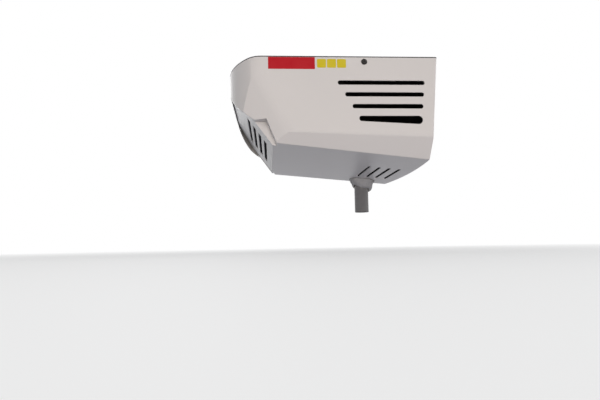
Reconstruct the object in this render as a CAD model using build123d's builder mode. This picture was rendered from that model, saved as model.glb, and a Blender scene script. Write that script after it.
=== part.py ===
from build123d import *
import os
from math import asin, cos, degrees, radians, sin, tan

# Evaporator unit that hangs under the roof of a refrigerated van. Millimetres, +Z up.
# The origin is the middle of the four roof bolts, on the plane of the van's ceiling.
# +X points at the van's front wall, where air goes in; air blows out at the -X end.

# Moulded cover, outside
cover_length = 568.0
cover_width = 600.0
wall = 3.0
inlet_draft = 0.082
outlet_draft = 0.02
inlet_end_bow = 20.0
inlet_corner_radius = 6.0
nose_radius = 50.0
nose_turn = 50.0
flank_radius = 251.0
fold_top_x = -204.0
fold_lean = 0.56
fold_radius = 90.0
fold_turn = 27.0
flank_fall_outlet = 193.0
flank_fall_inlet = 218.0
base_fall_outlet = 215.5
base_fall_inlet = 274.2
bevel_run_inlet = 46.0
bevel_radius = 14.0
crease_radius = 5.0

# Outlet end of the cover: a sloped cut, and a cheek recess at each flank
outlet_angle = 54.0
outlet_middle_x = -235.5
outlet_middle_z = -126.0
lip_top_z = -64.0
lip_bulge = 13.0
cheek_depth = 55.0
cheek_shelf_z = -164.0
cheek_corner_x = -177.0
cheek_edge_angle = 67.5

# Air inlet slots in both flanks: x start, x end, z of upper edge, height at start, height at end
flank_slots = [
    (13.0, 247.0, -66.0, 11.8, 11.8),
    (32.0, 244.0, -98.0, 11.8, 11.8),
    (51.0, 241.0, -130.0, 11.8, 12.6),
    (68.0, 238.0, -162.0, 14.0, 23.0),
]
flank_slot_rounding = 0.46

# Air inlet slots in the base
base_slot_first_x = 141.0
base_slot_pitch = 31.5
base_slot_count = 4
base_slot_length = 204.0
base_slot_width = 9.0
base_slot_middle_y = 30.0

# Outlet grille
grille_recess = 1.5
grille_thickness = 3.0
grille_slot_count = 4
grille_slot_pitch = 27.0
grille_slot_width = 14.0
grille_slot_length = 296.0
grille_slot_radius = 3.0
grille_slots_down = 48.2
vane_depth = 14.0
vane_thickness = 2.0

# Roof plate, its seal and the roof bolts
seal_thickness = 2.5
roof_sheet = 2.0
roof_flange = 26.0
swage_length = 440.0
swage_width = 16.0
swage_depth = 3.0
swage_y = (-190.0, -110.0, 110.0, 190.0)
bolt_span_x = 400.0
bolt_span_y = 460.0
bolt_hole = 9.0

# Cover screws, each with a washer head
washer_diameter = 16.0
washer_thickness = 1.2
head_diameter = 11.0
head_height = 3.0
head_chamfer = 1.0
cross_length = 6.0
cross_width = 1.4
cross_depth = 2.0
screw_diameter = 5.0
screw_hole = 7.0
screw_z = -15.0
screw_x = 85.0
screw_tip = 2.0

# Cooling coil
coil_x = 22.0
coil_depth = 60.0
coil_side_room = 58.0
coil_top_z = -14.0
coil_height = 186.0
fin_gap = 3.0
fin_pitch = 11.0
fin_gap_depth = 12.0
end_sheet = 1.5
tube_diameter = 10.0
tube_sides = 16
tube_rows = 6
tube_pitch = 30.0
column_pitch = 30.0
bend_stand_off = 5.0
tie_thickness = 1.0
header_diameter = 22.0
header_length = 176.0
liquid_header_diameter = 14.0
header_reach = 20.0
end_margin = 4.0
end_flange = 14.0

# Drain pan
pan_wall = 2.0
pan_depth = 19.0
pan_floor_z = -226.0
pan_margin_x = 14.0
pan_margin_y = 12.0
spigot_diameter = 16.0
spigot_wall = 2.0
spigot_length = 26.0
spigot_from_flank = 79.0

# Twin blower
wheel_diameter = 100.0
wheel_width = 76.0
wheel_ring = 7.0
wheel_sheet = 2.0
blade_count = 30
blade_thickness = 1.2
blade_chord = 13.0
blade_lean = 35.0
hub_diameter = 22.0
hub_length = 24.0
shaft_diameter = 8.0
shaft_length = 244.0
running_gap = 5.0
scroll_wall = 2.0
scroll_growth = 7.0
scroll_duct_length = 95.0
scroll_inlet_diameter = 84.0
motor_diameter = 72.0
motor_length = 70.0
motor_edge = 4.0
bracket_sheet = 2.0
bracket_length = 116.0
bracket_foot = 76.0
bracket_leg_height = 196.0
bracket_corner = 20.0
shaft_hole_diameter = 30.0

# Pipes and their outlet through the base
outlet_x = 167.0
outlet_from_flank = 92.0
sleeve_diameter = 50.0
sleeve_neck_diameter = 48.0
sleeve_wall = 2.5
sleeve_length = 134.0
sleeve_top_z = -248.0
collar_diameter = 84.0
collar_drop = 27.0
collar_neck = 60.0
collar_bulge = 17.0
collar_swell = 3.0
suction_diameter = 16.0
suction_z = -110.0
suction_x = 175.0
suction_from_flank = 86.0
suction_bend = 22.0
liquid_diameter = 10.0
liquid_x = 155.0
liquid_from_flank = 97.0
liquid_z = -150.0
liquid_bend = 12.0
drain_diameter = 12.0
drain_x = 161.0
drain_bend = 18.0
pipe_end_z = -362.0
valve_size = 34.0
valve_height = 40.0
valve_x = 105.0
valve_from_flank = 24.0
valve_rise = 47.0
valve_feed_from_flank = 14.0
valve_corner = 3.0
valve_cap_height = 10.0
valve_port_offset = 4.0

# Running clearance between pieces that stand face to face
fit = 0.3
shaft_clearance = 0.05

half_width = cover_width / 2
half_length = cover_length / 2
coil_width = cover_width - 2 * coil_side_room
spigot_y = half_width - spigot_from_flank
outlet_y = half_width - outlet_from_flank
suction_y = half_width - suction_from_flank
liquid_y = half_width - liquid_from_flank
valve_y = half_width - valve_from_flank
valve_feed_y = half_width - valve_feed_from_flank
form_top_z = 30.0
form_low_z = -320.0
form_reach = 400.0
cut_margin = 40.0

slope_sin = sin(radians(outlet_angle))
slope_cos = cos(radians(outlet_angle))
slope_tan = tan(radians(outlet_angle))
outward = Vector(-slope_sin, 0, -slope_cos)
down_slope = Vector(slope_cos, 0, -slope_sin)

# The base falls towards the inlet end, and so does the edge between flank and bevel
base_run = Vector(cover_length, 0, base_fall_outlet - base_fall_inlet)
flank_edge_run = Vector(cover_length, 0, flank_fall_outlet - flank_fall_inlet)
bevel_down = Vector(0, bevel_run_inlet, flank_fall_inlet - base_fall_inlet)
base_plane = Plane(
    origin=(-half_length, 0, -base_fall_outlet), x_dir=base_run, z_dir=Vector(0, 1, 0).cross(base_run)
)
bevel_plane = Plane(
    origin=(half_length, -half_width, -flank_fall_inlet),
    x_dir=flank_edge_run,
    z_dir=bevel_down.cross(flank_edge_run),
)


def base_z(x):
    """Height of the cover's outer base at x."""
    return -base_fall_outlet + (x + half_length) * base_run.Z / base_run.X


def end_outline(end):
    """Outline of the outlet end (-1) or the inlet end (1), measured from that end, with one side far off."""
    turn = radians(nose_turn)
    corner_x = nose_radius * sin(turn) + flank_radius * (1 - sin(turn))
    with BuildSketch() as outline:
        with BuildLine():
            if end < 0:
                flank = Line((2 * form_reach, -half_width), (corner_x, -half_width))
                nose = JernArc(flank @ 1, flank % 1, nose_radius, -nose_turn)
                shoulder = JernArc(nose @ 1, nose % 1, flank_radius, nose_turn - 90)
                Line(shoulder @ 1, (0, 0))
                Line((2 * form_reach, 0), (2 * form_reach, -half_width))
                mirror(about=Plane.XZ)
            else:
                side = Line((-2 * form_reach, -half_width), (0, -half_width))
                bow = ThreePointArc(side @ 1, (inlet_end_bow, 0), (0, half_width))
                Polyline(bow @ 1, (-2 * form_reach, half_width), side @ 0)
        make_face()
        if end > 0:
            fillet(outline.vertices().sort_by(Axis.X)[-2:], radius=inlet_corner_radius)
    return outline.sketch


def plan_outline(inset, drop):
    """Level outline of the whole cover at a drop below the ceiling, drawn in by the inset."""
    with BuildSketch() as plan:
        with Locations((outlet_draft * drop - half_length, 0)):
            add(end_outline(-1))
        with Locations((half_length - inlet_draft * drop, 0)):
            add(end_outline(1), mode=Mode.INTERSECT)
        offset(amount=-inset, kind=Kind.INTERSECTION)
    return plan.sketch


def leaning_prism(outline, start_x, lean, inset):
    """Prism of an outline, drawn in by the inset, whose length leans towards +X as it goes down."""
    across = Plane((start_x, 0, 0), x_dir=(1, 0, lean), z_dir=(-lean, 0, 1))
    with BuildPart() as prism:
        with BuildSketch(across):
            add(outline)
            if inset != 0:
                offset(amount=-inset, kind=Kind.INTERSECTION)
        extrude(amount=2 * form_reach, both=True)
    return prism.part


def fold_outline():
    """Outline that turns both flanks in towards the outlet, measured from where the turn starts."""
    with BuildSketch() as outline:
        with BuildLine():
            flank = Line((2 * form_reach, -half_width), (0, -half_width))
            turn = JernArc(flank @ 1, flank % 1, fold_radius, -fold_turn)
            facet = Line(turn @ 1, turn @ 1 + (turn % 1) * half_width)
            Line(facet @ 1, ((facet @ 1).X, 0))
            Line((2 * form_reach, 0), (2 * form_reach, -half_width))
            mirror(about=Plane.XZ)
        make_face()
    return outline.sketch


def cheek_recess(grow):
    """Recess that steps each flank in beside the outlet grille."""
    lean = 1 / tan(radians(cheek_edge_angle))
    shelf_z = cheek_shelf_z + grow
    corner_x = cheek_corner_x + grow + grow * lean
    far_x = -half_length - cut_margin
    with BuildPart() as recess:
        with BuildSketch(Plane.XZ.offset(half_width - cheek_depth - grow)):
            with BuildLine():
                Polyline(
                    (corner_x, shelf_z),
                    (corner_x + (shelf_z - form_low_z) * lean, form_low_z),
                    (far_x, form_low_z),
                    (far_x, shelf_z),
                    close=True,
                )
            make_face()
        extrude(amount=cheek_depth + grow + cut_margin)
        mirror(about=Plane.XZ)
    return recess.part


def runs_along(edge):
    """Whether an edge runs along the cover."""
    return abs(edge.tangent_at(0.5).X) > abs(edge.tangent_at(0.5).Y)


def hood_form(inset):
    """Solid form of the cover, drawn in all round by the inset, with no outlet cut."""
    with BuildPart() as bevels:
        with BuildSketch(bevel_plane.offset(-inset)):
            Rectangle(4 * form_reach, cover_width)
        extrude(amount=cover_width)
        mirror(about=Plane.XZ)
    with BuildPart() as form:
        with BuildSketch(Plane.XY.offset(form_low_z)):
            Rectangle(2 * form_reach, cover_width - 2 * inset)
        extrude(amount=form_top_z - form_low_z)
        with BuildSketch(base_plane.offset(-inset)):
            Rectangle(4 * form_reach, 2 * cover_width)
        extrude(amount=form_reach, mode=Mode.SUBTRACT)
        add(bevels.part, mode=Mode.SUBTRACT)
        low_edges = form.edges().filter_by(runs_along).filter_by(lambda edge: edge.center().Z < 0)
        fillet(low_edges.sort_by(lambda edge: abs(edge.center().Y))[-2:], radius=bevel_radius - inset)
        fillet(form.edges().filter_by(runs_along).sort_by(Axis.Z)[:2], radius=crease_radius - inset)
        add(leaning_prism(end_outline(-1), -half_length, outlet_draft, inset), mode=Mode.INTERSECT)
        add(leaning_prism(end_outline(1), half_length, -inlet_draft, inset), mode=Mode.INTERSECT)
        add(leaning_prism(fold_outline(), fold_top_x, fold_lean, inset), mode=Mode.INTERSECT)
        add(cheek_recess(inset), mode=Mode.SUBTRACT)
    return form.part


def level_slab(top_z, low_z):
    """Slab that covers the whole unit between two heights."""
    with BuildPart() as slab:
        with BuildSketch(Plane.XY.offset(low_z)):
            Rectangle(2 * form_reach, 2 * form_reach)
        extrude(amount=top_z - low_z)
    return slab.part


outlet_middle = Vector(outlet_middle_x, 0, outlet_middle_z)


def outlet_slab(inward, thickness):
    """Slab parallel to the sloped outlet, its outer face moved inward from the cut."""
    with BuildPart() as slab:
        with BuildSketch(Plane(outlet_middle - outward * inward, x_dir=(0, 1, 0), z_dir=outward)):
            Rectangle(2 * form_reach, 2 * form_reach)
        extrude(amount=-thickness)
    return slab.part


def slope_x(z):
    """Outer face of the sloped outlet at a height."""
    return outlet_middle_x - (z - outlet_middle_z) / slope_tan


def outlet_cut():
    """What is cut away in front of the outlet: the slope, up to a lip that bulges out over the grille."""
    lip_top = Vector(slope_x(lip_top_z), lip_top_z)
    lip_end = Vector(slope_x(cheek_shelf_z), cheek_shelf_z)
    lip_middle = (lip_top + lip_end) * 0.5 + Vector(-slope_sin, -slope_cos) * lip_bulge
    far_x = -form_reach - cut_margin
    with BuildPart() as cut:
        with BuildSketch(Plane.XZ):
            with BuildLine():
                ThreePointArc(lip_top, lip_middle, lip_end)
                Polyline(
                    lip_end,
                    (slope_x(form_low_z), form_low_z),
                    (far_x, form_low_z),
                    (far_x, cut_margin),
                    (slope_x(cut_margin), cut_margin),
                    lip_top,
                )
            make_face()
        extrude(amount=form_reach, both=True)
    return cut.part


outer_form = hood_form(0)
inner_form = hood_form(wall)
chassis_form = hood_form(wall + fit)

slots_middle = outlet_middle - outward * grille_recess + down_slope * grille_slots_down


def block(x_span, y_span, z_span):
    """Box between two x, two y and two z values."""
    spans = (x_span, y_span, z_span)
    with BuildPart() as box:
        with Locations(tuple((span[0] + span[1]) / 2 for span in spans)):
            Box(*(abs(span[1] - span[0]) for span in spans))
    return box.part


def pipe(points, bend, diameter):
    """Round pipe along straight runs joined by bends of one radius."""
    with BuildPart() as run:
        with BuildLine() as path:
            if len(points) > 2:
                FilletPolyline(*points, radius=bend)
            else:
                Line(*points)
        with BuildSketch(Plane(points[0], z_dir=Vector(*points[1]) - Vector(*points[0]))):
            RegularPolygon(diameter / 2, tube_sides)
        sweep()
    return run.part


# Cover: one thin moulding, open at the roof and at the sloped outlet
with BuildPart() as cover:
    add(outer_form)
    add(level_slab(form_top_z + cut_margin, -seal_thickness), mode=Mode.SUBTRACT)
    add(outlet_cut(), mode=Mode.SUBTRACT)
    add(inner_form, mode=Mode.SUBTRACT)
    for x_start, x_end, z_top, height_start, height_end in flank_slots:
        with BuildSketch(Plane.XZ) as flank_slot:
            with BuildLine():
                Polyline(
                    (x_start, z_top),
                    (x_end, z_top),
                    (x_end, z_top - height_end),
                    (x_start, z_top - height_start),
                    close=True,
                )
            make_face()
            fillet(flank_slot.vertices().sort_by(Axis.X)[:2], radius=flank_slot_rounding * height_start)
            fillet(flank_slot.vertices().sort_by(Axis.X)[-2:], radius=flank_slot_rounding * height_end)
        extrude(amount=half_width + cut_margin, both=True, mode=Mode.SUBTRACT)
    with BuildSketch(Plane.XY.offset(form_low_z)):
        for number in range(base_slot_count):
            with Locations((base_slot_first_x + number * base_slot_pitch, base_slot_middle_y)):
                SlotOverall(base_slot_length, base_slot_width, rotation=90)
        with Locations((outlet_x, outlet_y)):
            Circle(sleeve_neck_diameter / 2 + fit)
    extrude(amount=form_reach / 4, mode=Mode.SUBTRACT)
    with Locations((screw_x, 0, screw_z)):
        Cylinder(screw_hole / 2, cover_width + cut_margin, rotation=(90, 0, 0), mode=Mode.SUBTRACT)
    with Locations((half_length, 0, screw_z)):
        Cylinder(screw_hole / 2, 2 * cut_margin, rotation=(0, 90, 0), mode=Mode.SUBTRACT)

# Louvred outlet grille, recessed inside the sloped cut
grille_plane = Plane(slots_middle, x_dir=(0, 1, 0), z_dir=outward)
grille_back = grille_plane.offset(-grille_thickness)
with BuildPart() as outlet_grille:
    add(chassis_form)
    add(outlet_slab(grille_recess, grille_thickness), mode=Mode.INTERSECT)
    with BuildSketch(grille_plane):
        with GridLocations(1, grille_slot_pitch, 1, grille_slot_count):
            RectangleRounded(grille_slot_length, grille_slot_width, grille_slot_radius)
    extrude(amount=-grille_thickness, mode=Mode.SUBTRACT)
    with BuildSketch(grille_back):
        with GridLocations(1, grille_slot_pitch, 1, grille_slot_count + 1):
            Rectangle(grille_slot_length, vane_thickness)
    extrude(amount=-vane_depth)

# Roof plate: a tray whose turned-down flange takes the cover screws
tray_depth = roof_sheet + roof_flange
with BuildPart() as roof_plate:
    with BuildSketch():
        add(plan_outline(wall + fit, tray_depth))
    extrude(amount=-tray_depth)
    with BuildSketch(Plane.XY.offset(-roof_sheet)):
        add(plan_outline(wall + fit + roof_sheet, tray_depth))
    extrude(amount=-roof_flange, mode=Mode.SUBTRACT)
    with BuildSketch(Plane.XY.offset(-roof_sheet)):
        with Locations(*[(0, y) for y in swage_y]):
            SlotOverall(swage_length + 2 * roof_sheet, swage_width + 2 * roof_sheet)
    extrude(amount=-swage_depth)
    with BuildSketch():
        with Locations(*[(0, y) for y in swage_y]):
            SlotOverall(swage_length, swage_width)
    extrude(amount=-swage_depth, mode=Mode.SUBTRACT)
    with GridLocations(bolt_span_x, bolt_span_y, 2, 2):
        Cylinder(bolt_hole / 2, cut_margin, mode=Mode.SUBTRACT)
    with Locations((screw_x, 0, screw_z)):
        Cylinder(screw_hole / 2, cover_width + cut_margin, rotation=(90, 0, 0), mode=Mode.SUBTRACT)
    with Locations((half_length, 0, screw_z)):
        Cylinder(screw_hole / 2, 2 * cut_margin, rotation=(0, 90, 0), mode=Mode.SUBTRACT)

# Foam seal between the cover's edge and the ceiling
with BuildPart() as roof_seal:
    add(outer_form)
    add(level_slab(0, -seal_thickness + fit), mode=Mode.INTERSECT)
    add(inner_form, mode=Mode.SUBTRACT)

# Cover screws: name, then the middle of the washer's seat and the way the head faces
screw_seats = [
    ("front", (screw_x, -half_width - fit, screw_z), (0, -1, 0)),
    ("rear", (screw_x, half_width + fit, screw_z), (0, 1, 0)),
    ("inlet", (half_length + inlet_end_bow + inlet_draft * screw_z + fit, 0, screw_z), (1, 0, -inlet_draft)),
]
screw_length = wall + 2 * fit + roof_sheet + screw_tip
screws = []
for place, seat, facing in screw_seats:
    seat_plane = Plane(seat, x_dir=Vector(0, 0, 1).cross(Vector(*facing)), z_dir=facing)
    with BuildPart() as screw:
        with BuildSketch(seat_plane):
            Circle(washer_diameter / 2)
        extrude(amount=washer_thickness)
        with BuildSketch(seat_plane.offset(washer_thickness)):
            Circle(head_diameter / 2)
        extrude(amount=head_height)
        chamfer(screw.faces().sort_by(lambda face: Vector(*facing).dot(face.center()))[-1].edges(),
                length=head_chamfer)
        with BuildSketch(seat_plane.offset(washer_thickness + head_height)):
            Rectangle(cross_length, cross_width)
            Rectangle(cross_width, cross_length)
        extrude(amount=-cross_depth, mode=Mode.SUBTRACT)
        with BuildSketch(seat_plane):
            Circle(screw_diameter / 2)
        extrude(amount=-screw_length)
    screws.append((place, screw.part))

# Cooling coil: a finned block between two end sheets
coil_bottom_z = coil_top_z - coil_height
fin_gap_count = int((coil_width - fin_gap) / fin_pitch)
with BuildPart() as coil_fins:
    with BuildSketch(Plane.XY.offset(coil_bottom_z)):
        with Locations((coil_x, 0)):
            Rectangle(coil_depth, coil_width)
            with GridLocations(coil_depth - fin_gap_depth, fin_pitch, 2, fin_gap_count):
                Rectangle(fin_gap_depth, fin_gap, mode=Mode.SUBTRACT)
    extrude(amount=coil_height)

end_low_z = pan_floor_z + pan_wall + fit
end_inner_y = coil_width / 2 + fit
end_outer_y = end_inner_y + end_sheet
end_x_span = (coil_x - coil_depth / 2 - end_margin, coil_x + coil_depth / 2 + end_margin)
end_top_z = -roof_sheet - fit
with BuildPart() as coil_end_front:
    add(block(end_x_span, (-end_inner_y, -end_outer_y), (end_low_z, end_top_z)))
    add(block(end_x_span, (-end_inner_y, -end_outer_y - end_flange), (end_top_z - end_sheet, end_top_z)))
with BuildPart() as coil_end_rear:
    add(mirror(coil_end_front.part, about=Plane.XZ))

# Tube bends at the front end of the coil, brazed to a thin tie plate
column_x = (coil_x - column_pitch / 2, coil_x + column_pitch / 2)
row_z = [coil_top_z - coil_height / 2 + (number - (tube_rows - 1) / 2) * tube_pitch
         for number in range(tube_rows)]
bend_start_y = -end_outer_y - fit
bend_turn_y = bend_start_y - bend_stand_off
with BuildPart() as one_bend:
    with BuildLine():
        Line((column_x[0], bend_start_y), (column_x[0], bend_turn_y))
        ThreePointArc((column_x[0], bend_turn_y), (coil_x, bend_turn_y - column_pitch / 2),
                      (column_x[1], bend_turn_y))
        Line((column_x[1], bend_turn_y), (column_x[1], bend_start_y))
    with BuildSketch(Plane((column_x[0], bend_start_y, 0), z_dir=(0, -1, 0))):
        RegularPolygon(tube_diameter / 2, tube_sides)
    sweep()
with BuildPart() as coil_bends:
    add(block((column_x[0] - tube_diameter, column_x[1] + tube_diameter),
              (bend_start_y, bend_start_y - tie_thickness),
              (row_z[0] - tube_diameter, row_z[-1] + tube_diameter)))
    with Locations(*[(0, 0, z) for z in row_z]):
        add(one_bend.part)

# Headers at the rear end of the coil: warm gas leaves by one, liquid comes in by the other
header_y = end_outer_y + fit + header_reach
header_z = coil_top_z - coil_height / 2
valve_z = header_z + valve_rise


def header(x, diameter):
    """Upright header tube with a stub to every tube of the coil."""
    with BuildPart() as tube:
        with Locations((x, header_y, header_z)):
            Cylinder(diameter / 2, header_length)
        for z in row_z:
            with Locations((x, header_y - header_reach / 2, z)):
                Cylinder(tube_diameter / 2, header_reach, rotation=(90, 0, 0))
    return tube.part


with BuildPart() as suction_header:
    add(header(column_x[1], header_diameter))
with BuildPart() as liquid_header:
    add(header(column_x[0], liquid_header_diameter))
    add(pipe([(column_x[0], header_y, valve_z), (column_x[0], valve_feed_y, valve_z),
              (valve_x - valve_size / 2 - fit, valve_feed_y, valve_z)], liquid_bend, tube_diameter))

# Expansion valve and the three pipes that go down into the sleeve
with BuildPart() as expansion_valve:
    with Locations((valve_x, valve_y, valve_z)):
        Box(valve_size, valve_size, valve_height)
    fillet(expansion_valve.edges().filter_by(Axis.Z), radius=valve_corner)
    with Locations((valve_x, valve_y, valve_z + (valve_height + valve_cap_height) / 2)):
        Cylinder(valve_size / 2 - valve_corner, valve_cap_height)
with BuildPart() as suction_pipe:
    add(pipe([(column_x[1] + header_diameter / 2 + fit, header_y, suction_z),
              (suction_x, header_y, suction_z), (suction_x, suction_y, suction_z),
              (suction_x, suction_y, pipe_end_z)], suction_bend, suction_diameter))
valve_port_y = valve_y + valve_port_offset
with BuildPart() as liquid_pipe:
    add(pipe([(valve_x, valve_port_y, valve_z - valve_height / 2 - fit), (valve_x, valve_port_y, liquid_z),
              (liquid_x, valve_port_y, liquid_z), (liquid_x, liquid_y, liquid_z),
              (liquid_x, liquid_y, pipe_end_z)], liquid_bend, liquid_diameter))

# Drain pan under the coil, and its pipe
pan_x_span = (coil_x - coil_depth / 2 - pan_margin_x, coil_x + coil_depth / 2 + pan_margin_x)
pan_half_width = coil_width / 2 + pan_margin_y
spigot_z = pan_floor_z + pan_wall + spigot_diameter / 2
with BuildPart() as drain_pan:
    add(block(pan_x_span, (-pan_half_width, pan_half_width), (pan_floor_z, pan_floor_z + pan_depth)))
    with Locations((pan_x_span[1] + spigot_length / 2, spigot_y, spigot_z)):
        Cylinder(spigot_diameter / 2, spigot_length, rotation=(0, 90, 0))
    add(block((pan_x_span[0] + pan_wall, pan_x_span[1] - pan_wall),
              (-pan_half_width + pan_wall, pan_half_width - pan_wall),
              (pan_floor_z + pan_wall, pan_floor_z + 2 * pan_depth)), mode=Mode.SUBTRACT)
    with Locations((pan_x_span[1] + spigot_length / 2, spigot_y, spigot_z)):
        Cylinder(spigot_diameter / 2 - spigot_wall, 2 * spigot_length, rotation=(0, 90, 0),
                 mode=Mode.SUBTRACT)
with BuildPart() as drain_pipe:
    add(pipe([(pan_x_span[1] + spigot_length + fit, spigot_y, spigot_z), (drain_x, spigot_y, spigot_z),
              (drain_x, spigot_y, pipe_end_z)], drain_bend, drain_diameter))

# Twin blower: its axis lies along Y, and both ducts blow square at the louvre
scroll_square = scroll_growth / 2
scroll_radius = wheel_diameter / 2 + running_gap + scroll_growth
duct_low = -scroll_square
duct_high = scroll_square + scroll_radius + 2 * scroll_growth
duct_gap = grille_thickness + vane_depth + fit
blower_axis = (
    slots_middle - outward * (scroll_duct_length + duct_gap) + down_slope * (duct_low + duct_high) / 2
)
bracket_half = motor_length / 2 + fit + bracket_sheet
scroll_start_y = bracket_half + fit
scroll_inner_width = wheel_width + 2 * running_gap
wheel_start_y = scroll_start_y + scroll_wall + running_gap

with BuildPart() as blower_motor:
    with Locations(blower_axis):
        Cylinder(motor_diameter / 2, motor_length, rotation=(90, 0, 0))
    chamfer(blower_motor.edges(), length=motor_edge)
    with Locations(blower_axis):
        Cylinder(shaft_diameter / 2 + shaft_clearance, shaft_length, rotation=(90, 0, 0),
                 mode=Mode.SUBTRACT)

with BuildPart() as blower_bracket:
    with BuildSketch(Plane.XZ) as leg:
        with BuildLine():
            Polyline(
                (blower_axis.X - bracket_length / 2, end_top_z),
                (blower_axis.X + bracket_length / 2, end_top_z),
                (blower_axis.X + bracket_foot / 2, end_top_z - bracket_leg_height),
                (blower_axis.X - bracket_foot / 2, end_top_z - bracket_leg_height),
                close=True,
            )
        make_face()
        fillet(leg.vertices().sort_by(Axis.Y)[:2], radius=bracket_corner)
        with Locations((blower_axis.X, blower_axis.Z)):
            Circle(shaft_hole_diameter / 2, mode=Mode.SUBTRACT)
    extrude(amount=bracket_half, both=True)
    add(block((-form_reach, form_reach), (-bracket_half + bracket_sheet, bracket_half - bracket_sheet),
              (end_top_z - bracket_sheet, -form_reach)), mode=Mode.SUBTRACT)

with BuildPart() as blower_shaft:
    with Locations(blower_axis):
        Cylinder(shaft_diameter / 2, shaft_length, rotation=(90, 0, 0))


def wheel_plane(along):
    """Plane square to the blower's axis, that far along the rear wheel from its disc's back."""
    return Plane(blower_axis + Vector(0, wheel_start_y + along, 0), x_dir=outward, z_dir=(0, 1, 0))


# Each wheel: a disc with its hub, a cage of leaning blades and an open end ring
with BuildPart() as blower_disc_rear:
    with BuildSketch(wheel_plane(0)):
        Circle(wheel_diameter / 2)
    extrude(amount=wheel_sheet)
    with BuildSketch(wheel_plane(0)):
        Circle(hub_diameter / 2)
    extrude(amount=hub_length)
    with BuildSketch(wheel_plane(0)):
        Circle(shaft_diameter / 2 + fit)
    extrude(amount=hub_length, mode=Mode.SUBTRACT)
with BuildPart() as blower_blades_rear:
    with BuildSketch(wheel_plane(wheel_sheet + fit)):
        with PolarLocations(wheel_diameter / 2 - blade_chord / 2, blade_count):
            Rectangle(blade_chord, blade_thickness, rotation=blade_lean)
    extrude(amount=wheel_width - 2 * wheel_sheet - 2 * fit)
with BuildPart() as blower_ring_rear:
    with BuildSketch(wheel_plane(wheel_width - wheel_sheet)):
        Circle(wheel_diameter / 2)
        Circle(wheel_diameter / 2 - wheel_ring, mode=Mode.SUBTRACT)
    extrude(amount=wheel_sheet)
wheel_pieces = []
for name, piece in (("disc", blower_disc_rear), ("blades", blower_blades_rear), ("ring", blower_ring_rear)):
    wheel_pieces.append(("blower_" + name + "_rear", piece.part))
    wheel_pieces.append(("blower_" + name + "_front", mirror(piece.part, about=Plane.XZ)))


def scroll_outline(grow, mouth):
    """Section of the blower scroll, grown all round, with its duct run on to the mouth."""
    small = scroll_radius + grow
    middle = small + scroll_growth
    large = middle + scroll_growth
    square = scroll_square
    tongue = degrees(asin(grow / small))
    with BuildSketch() as section:
        with BuildLine():
            bottom = CenterArc((-square, -square), small, -tongue, tongue - 90)
            back = CenterArc((-square, square), middle, -90, -90)
            CenterArc((square, square), large, 180, -90)
            Polyline((square, square + large), (mouth, square + large), (mouth, duct_low - grow), bottom @ 0)
        make_face()
    return section.sketch


def scroll(side):
    """Blower scroll of the front (-1) or the rear (1) wheel."""
    inner_y = scroll_start_y + scroll_wall
    outer_y = inner_y + scroll_inner_width
    with BuildPart() as shell:
        with BuildSketch(Plane(blower_axis + Vector(0, scroll_start_y, 0), x_dir=outward, z_dir=(0, 1, 0))):
            add(scroll_outline(scroll_wall, scroll_duct_length))
        extrude(amount=scroll_inner_width + 2 * scroll_wall)
        with BuildSketch(Plane(blower_axis + Vector(0, inner_y, 0), x_dir=outward, z_dir=(0, 1, 0))):
            add(scroll_outline(0, scroll_duct_length + cut_margin))
        extrude(amount=scroll_inner_width, mode=Mode.SUBTRACT)
        with BuildSketch(Plane(blower_axis + Vector(0, outer_y, 0), x_dir=outward, z_dir=(0, 1, 0))):
            Circle(scroll_inlet_diameter / 2)
        extrude(amount=scroll_wall, mode=Mode.SUBTRACT)
        with BuildSketch(Plane(blower_axis + Vector(0, scroll_start_y, 0), x_dir=outward, z_dir=(0, 1, 0))):
            Circle(shaft_hole_diameter / 2)
        extrude(amount=scroll_wall, mode=Mode.SUBTRACT)
    return shell.part if side > 0 else mirror(shell.part, about=Plane.XZ)


with BuildPart() as blower_scroll_rear:
    add(scroll(1))
with BuildPart() as blower_scroll_front:
    add(scroll(-1))

# Soft collar that seals the sleeve to the base, and the smooth sleeve itself
collar_top_z = base_z(outlet_x - collar_diameter / 2) + collar_swell
collar_low_z = base_z(outlet_x) - collar_drop
collar_hole = sleeve_neck_diameter / 2 + fit
collar_edge = collar_diameter / 2
with BuildPart() as conduit_collar:
    with BuildSketch(Plane((outlet_x, outlet_y, 0), x_dir=(1, 0, 0), z_dir=(0, -1, 0))):
        with BuildLine():
            ThreePointArc(
                (collar_edge, collar_low_z + collar_bulge),
                ((collar_edge + collar_neck / 2) / 2 + collar_swell, collar_low_z + collar_bulge / 3),
                (collar_neck / 2, collar_low_z),
            )
            Polyline(
                (collar_neck / 2, collar_low_z),
                (collar_hole, collar_low_z),
                (collar_hole, collar_top_z),
                (collar_edge - collar_swell, collar_top_z),
                (collar_edge, collar_low_z + collar_bulge),
            )
        make_face()
    revolve(axis=Axis((outlet_x, outlet_y, 0), (0, 0, 1)))
    with BuildSketch(base_plane.offset(fit)):
        Rectangle(4 * form_reach, 2 * cover_width)
    extrude(amount=-form_reach, mode=Mode.SUBTRACT)

sleeve_shoulder_z = collar_low_z - fit
sleeve_low_z = sleeve_top_z - sleeve_length
with BuildPart() as conduit_sleeve:
    with Locations((outlet_x, outlet_y, (sleeve_top_z + sleeve_low_z) / 2)):
        Cylinder(sleeve_neck_diameter / 2, sleeve_length)
    with Locations((outlet_x, outlet_y, (sleeve_shoulder_z + sleeve_low_z) / 2)):
        Cylinder(sleeve_diameter / 2, sleeve_shoulder_z - sleeve_low_z)
    with Locations((outlet_x, outlet_y, sleeve_top_z - sleeve_length / 2)):
        Cylinder(sleeve_diameter / 2 - sleeve_wall, 2 * sleeve_length, mode=Mode.SUBTRACT)

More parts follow.
